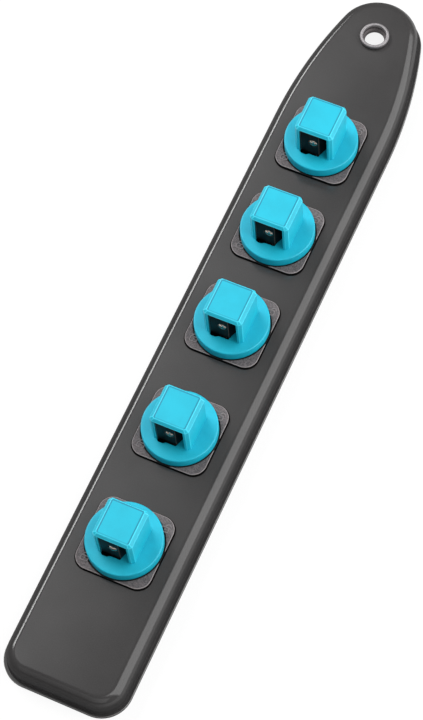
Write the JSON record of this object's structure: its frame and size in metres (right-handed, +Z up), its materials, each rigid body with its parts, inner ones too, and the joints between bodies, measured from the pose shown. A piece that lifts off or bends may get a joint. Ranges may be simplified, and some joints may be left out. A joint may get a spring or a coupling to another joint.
{
  "type": "socket rail",
  "caption": "Slim dark tool rail with a hanging eyelet and a row of turquoise square holders that twist to lock sockets in place.",
  "frame": {"origin": "on the bench, at the middle of the rail's length and width", "axes": "+Y along the rail towards the hanging eyelet, +Z up out of the back, +X to the right"},
  "size_m": [0.0398, 0.2522, 0.0256],
  "materials": {
    "rail_charcoal": "satin, fine grain",
    "cover_black": "matte",
    "plate_dark_grey": "grained",
    "cap_turquoise": "satin",
    "pawl_black": "satin",
    "nut_black": "matte",
    "ball_steel": "polished",
    "screw_zinc": "zinc plated",
    "eyelet_nickel": "nickel plated, satin"
  },
  "bodies": {
    "rail": {"rail_shell": "rail_charcoal", "back_cover": "cover_black", "hanging_eyelet": "eyelet_nickel", "cover_screw_1": "screw_zinc", "cover_screw_2": "screw_zinc", "cover_screw_3": "screw_zinc", "cover_screw_4": "screw_zinc", "cover_screw_5": "screw_zinc", "cover_screw_6": "screw_zinc", "base_plate_1": "plate_dark_grey", "base_plate_2": "plate_dark_grey", "base_plate_3": "plate_dark_grey", "base_plate_4": "plate_dark_grey", "base_plate_5": "plate_dark_grey", "hub_nut_1": "nut_black", "hub_nut_2": "nut_black", "hub_nut_3": "nut_black", "hub_nut_4": "nut_black", "hub_nut_5": "nut_black", "pivot_washer_1": "screw_zinc", "pivot_washer_2": "screw_zinc", "pivot_washer_3": "screw_zinc", "pivot_washer_4": "screw_zinc", "pivot_washer_5": "screw_zinc"},
    "cap_1": {"twist_cap_1": "cap_turquoise", "pivot_screw_1": "screw_zinc"},
    "pawl_1": {"lock_pawl_1": "pawl_black", "lock_ball_1": "ball_steel"},
    "cap_2": {"twist_cap_2": "cap_turquoise", "pivot_screw_2": "screw_zinc"},
    "pawl_2": {"lock_pawl_2": "pawl_black", "lock_ball_2": "ball_steel"},
    "cap_3": {"twist_cap_3": "cap_turquoise", "pivot_screw_3": "screw_zinc"},
    "pawl_3": {"lock_pawl_3": "pawl_black", "lock_ball_3": "ball_steel"},
    "cap_4": {"twist_cap_4": "cap_turquoise", "pivot_screw_4": "screw_zinc"},
    "pawl_4": {"lock_pawl_4": "pawl_black", "lock_ball_4": "ball_steel"},
    "cap_5": {"twist_cap_5": "cap_turquoise", "pivot_screw_5": "screw_zinc"},
    "pawl_5": {"lock_pawl_5": "pawl_black", "lock_ball_5": "ball_steel"}
  },
  "joints": [
    {"name": "cap_turn_1", "type": "hinge", "parent": "rail", "child": "cap_1", "pos_m": [0, 0.0667, 0.01285], "axis": [0, 0, 1], "range_deg": [0, 180]},
    {"name": "pawl_slide_1", "type": "slide", "parent": "cap_1", "child": "pawl_1", "axis": [0, 1, 0], "range_m": [0, 0.0012]},
    {"name": "cap_turn_2", "type": "hinge", "parent": "rail", "child": "cap_2", "pos_m": [0, 0.0328, 0.01285], "axis": [0, 0, 1], "range_deg": [0, 180]},
    {"name": "pawl_slide_2", "type": "slide", "parent": "cap_2", "child": "pawl_2", "axis": [0, 1, 0], "range_m": [0, 0.0012]},
    {"name": "cap_turn_3", "type": "hinge", "parent": "rail", "child": "cap_3", "pos_m": [0, -0.0014, 0.01285], "axis": [0, 0, 1], "range_deg": [0, 180]},
    {"name": "pawl_slide_3", "type": "slide", "parent": "cap_3", "child": "pawl_3", "axis": [0, 1, 0], "range_m": [0, 0.0012]},
    {"name": "cap_turn_4", "type": "hinge", "parent": "rail", "child": "cap_4", "pos_m": [0, -0.039, 0.01285], "axis": [0, 0, 1], "range_deg": [0, 180]},
    {"name": "pawl_slide_4", "type": "slide", "parent": "cap_4", "child": "pawl_4", "axis": [0, 1, 0], "range_m": [0, 0.0012]},
    {"name": "cap_turn_5", "type": "hinge", "parent": "rail", "child": "cap_5", "pos_m": [0, -0.0774, 0.01285], "axis": [0, 0, 1], "range_deg": [0, 180]},
    {"name": "pawl_slide_5", "type": "slide", "parent": "cap_5", "child": "pawl_5", "axis": [0, 1, 0], "range_m": [0, 0.0012]}
  ],
  "couplings": [
    {"joint": "pawl_slide_1", "follows": "cap_turn_1", "m_per_rad": 0.00038197},
    {"joint": "pawl_slide_2", "follows": "cap_turn_2", "m_per_rad": 0.00038197},
    {"joint": "pawl_slide_3", "follows": "cap_turn_3", "m_per_rad": 0.00038197},
    {"joint": "pawl_slide_4", "follows": "cap_turn_4", "m_per_rad": 0.00038197},
    {"joint": "pawl_slide_5", "follows": "cap_turn_5", "m_per_rad": 0.00038197}
  ]
}
